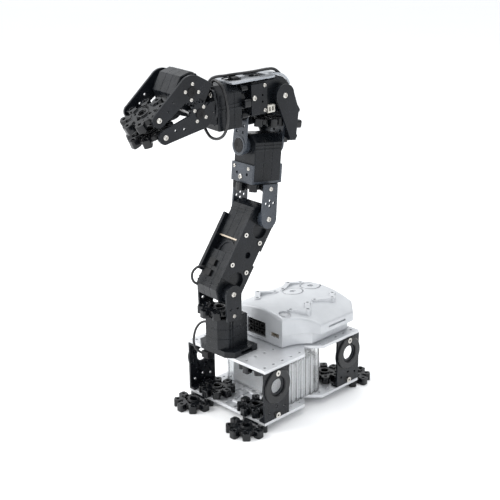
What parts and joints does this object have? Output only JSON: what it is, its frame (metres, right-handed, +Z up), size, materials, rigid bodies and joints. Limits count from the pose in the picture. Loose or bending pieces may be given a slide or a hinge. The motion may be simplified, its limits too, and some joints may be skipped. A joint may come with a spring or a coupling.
{
  "type": "desktop robot arm",
  "caption": "Desktop robot arm on a two-deck base with a control box; servo joints and a geared two-finger gripper.",
  "frame": {"origin": "the middle of the four foot holes, on the surface that the feet stand on", "axes": "+Z up, -Y to the front where the gripper reaches, +X to the object's right-hand side"},
  "size_m": [0.0774, 0.1717, 0.2274],
  "materials": {
    "deck_metal": "satin",
    "black_sheet": "satin",
    "servo_plastic": "satin",
    "hub_plastic": "glossy",
    "clear_plastic": "glossy",
    "battery_wrap": "matt",
    "cover_plastic": "satin",
    "dark_plastic": "matt",
    "socket_metal": "satin",
    "screw_metal": "bright",
    "cable_jacket": "satin",
    "plug_plastic": "satin",
    "button_plastic": "satin"
  },
  "bodies": {
    "base": {"lower_deck": "deck_metal", "upper_deck": "deck_metal", "brackets_front": "black_sheet", "brackets_rear": "black_sheet", "feet": "hub_plastic", "deck_hubs": "hub_plastic", "clear_box": "clear_plastic", "battery_pack": "battery_wrap", "controller_base": "cover_plastic", "controller_cover": "cover_plastic", "port_panel": "dark_plastic", "charge_socket": "socket_metal", "yaw_mount": "servo_plastic", "yaw_servo_case": "servo_plastic", "yaw_servo_cover": "servo_plastic", "yaw_lead": "cable_jacket", "lead_plug": "plug_plastic", "base_screws": "screw_metal"},
    "button": {"power_button": "button_plastic"},
    "turret": {"turret_horn": "black_sheet", "turret_hub": "hub_plastic", "yoke_arms": "black_sheet"},
    "lower_link": {"shoulder_servo_case": "servo_plastic", "shoulder_servo_cover": "servo_plastic", "elbow_servo_case": "servo_plastic", "elbow_servo_cover": "servo_plastic", "link_plates": "black_sheet", "link_spacer": "black_sheet", "link_trim": "screw_metal", "link_screws": "screw_metal", "link_lead": "cable_jacket", "link_sockets": "plug_plastic"},
    "upper_link": {"elbow_arms": "black_sheet", "elbow_hub": "hub_plastic", "tilt_servo_case": "servo_plastic", "tilt_servo_cover": "servo_plastic", "tilt_clip": "black_sheet"},
    "carriage": {"tilt_arms": "black_sheet", "tilt_hub": "hub_plastic", "wrist_cheeks": "black_sheet", "wrist_back": "black_sheet", "wrist_back_hub": "hub_plastic"},
    "forearm": {"wrist_servo_case": "servo_plastic", "wrist_servo_cover": "servo_plastic", "roll_servo_case": "servo_plastic", "roll_servo_cover": "servo_plastic", "wrist_clip": "black_sheet", "forearm_hub": "hub_plastic", "top_plate": "black_sheet", "wrist_sockets": "plug_plastic", "top_lead": "cable_jacket", "side_lead": "cable_jacket"},
    "hand": {"hand_plate": "black_sheet", "grip_servo_case": "servo_plastic", "grip_servo_cover": "servo_plastic", "hand_cheeks": "black_sheet"},
    "upper_finger": {"upper_finger_plates": "black_sheet", "upper_pad": "hub_plastic"},
    "lower_finger": {"lower_finger_plates": "black_sheet", "lower_pad": "hub_plastic"}
  },
  "joints": [
    {"name": "power_button_press", "type": "slide", "parent": "base", "child": "button", "axis": [0, 0, -1], "range_m": [0, 0.0008], "stiffness_N_per_m": 400, "springref_m": -0.0005},
    {"name": "base_yaw", "type": "hinge", "parent": "base", "child": "turret", "pos_m": [-0.008, -0.0425, 0.071], "axis": [0, 0, 1], "range_deg": [-120, 120]},
    {"name": "shoulder_pitch", "type": "hinge", "parent": "turret", "child": "lower_link", "pos_m": [-0.008, -0.0425, 0.086], "axis": [0.9945, -0.1045, 0], "range_deg": [-45, 45]},
    {"name": "elbow_pitch", "type": "hinge", "parent": "lower_link", "child": "upper_link", "pos_m": [-0.00499, -0.01387, 0.12966], "axis": [0.9945, -0.1045, 0], "range_deg": [-60, 38]},
    {"name": "forearm_tilt", "type": "hinge", "parent": "upper_link", "child": "carriage", "pos_m": [-0.00452, -0.00943, 0.17495], "axis": [0.1041, 0.9907, -0.0872], "range_deg": [-60, 60]},
    {"name": "wrist_pitch", "type": "hinge", "parent": "carriage", "child": "forearm", "pos_m": [-0.00199, -0.0018, 0.20734], "axis": [0.9927, -0.1089, -0.0521], "range_deg": [-75, 2]},
    {"name": "wrist_roll", "type": "hinge", "parent": "forearm", "child": "hand", "pos_m": [-0.00203, -0.00175, 0.20644], "axis": [-0.1116, -0.9924, -0.0521], "range_deg": [-120, 120]},
    {"name": "gripper_open", "type": "hinge", "parent": "hand", "child": "upper_finger", "pos_m": [-0.00911, -0.07109, 0.21642], "axis": [-0.9927, 0.1089, 0.0521], "range_deg": [-2, 50]},
    {"name": "gripper_follow", "type": "hinge", "parent": "hand", "child": "lower_finger", "pos_m": [-0.00915, -0.06519, 0.20329], "axis": [-0.9927, 0.1089, 0.0521], "range_deg": [-50, 2]}
  ],
  "couplings": [
    {"joint": "gripper_follow", "follows": "gripper_open", "ratio": -1}
  ]
}
